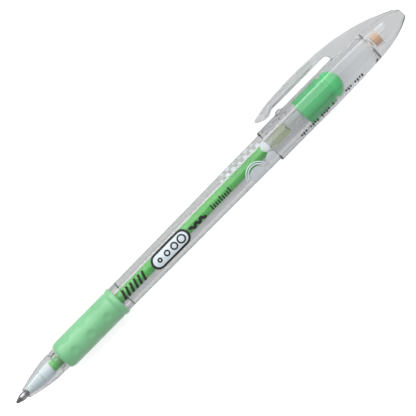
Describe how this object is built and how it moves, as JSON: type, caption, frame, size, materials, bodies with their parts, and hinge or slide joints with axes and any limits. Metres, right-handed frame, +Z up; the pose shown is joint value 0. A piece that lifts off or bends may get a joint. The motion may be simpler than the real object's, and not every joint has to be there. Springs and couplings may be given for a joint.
{
  "type": "capped gel pen",
  "caption": "Clear capped gel roller-ball pen with a green refill and rubber grip, its sprung-clip cap posted on the rear.",
  "frame": {"origin": "on the table plane, at the middle of the pen's box in x and y", "axes": "+X along the pen from the writing ball to the cap's nose, +Z up from the table, the clip leaning towards +Y"},
  "size_m": [0.1646, 0.016, 0.0111],
  "materials": {
    "clear_plastic": "polished clear moulding",
    "milky_plastic": "translucent white moulding",
    "tube_plastic": "thin translucent extrusion",
    "green_ink": "opaque pastel gel",
    "follower_grease": "translucent grease",
    "grip_rubber": "satin pastel rubber",
    "green_plastic": "glossy moulded plastic",
    "steel": "turned and polished",
    "seal_rubber": "matt"
  },
  "bodies": {
    "barrel": {"barrel": "clear_plastic", "grip_sleeve": "grip_rubber", "end_plug": "green_plastic"},
    "refill": {"metal_point": "steel", "tip_holder": "milky_plastic", "ink_tube": "tube_plastic", "ink_column": "green_ink", "follower": "follower_grease"},
    "ball": {"ball": "steel"},
    "nose_cone": {"nose_cone": "clear_plastic"},
    "cap": {"cap": "clear_plastic", "tip_seal": "seal_rubber"},
    "clip": {"clip": "clear_plastic"}
  },
  "joints": [
    {"name": "refill_slide", "type": "slide", "parent": "barrel", "child": "refill", "axis": [-1, 0, 0], "range_m": [0, 0.006]},
    {"name": "nose_turn", "type": "hinge", "parent": "refill", "child": "nose_cone", "pos_m": [-0.0723, -0.00244, 0.00555], "axis": [-1, 0, 0], "range_deg": [0, 1080]},
    {"name": "ball_spin", "type": "hinge", "parent": "refill", "child": "ball", "pos_m": [-0.0819, -0.00244, 0.00555], "axis": [0, 0.3378, 0.9412], "continuous": true},
    {"name": "cap_slide", "type": "slide", "parent": "barrel", "child": "cap", "axis": [1, 0, 0], "range_m": [0, 0.032]},
    {"name": "clip_flex", "type": "hinge", "parent": "cap", "child": "clip", "pos_m": [0.06264, 0.0045, 0.00306], "axis": [0, -0.3378, -0.9412], "range_deg": [0, 5], "stiffness_Nm_per_rad": 0.9}
  ],
  "couplings": [
    {"joint": "nose_turn", "follows": "refill_slide", "rad_per_m": 3141.6}
  ]
}
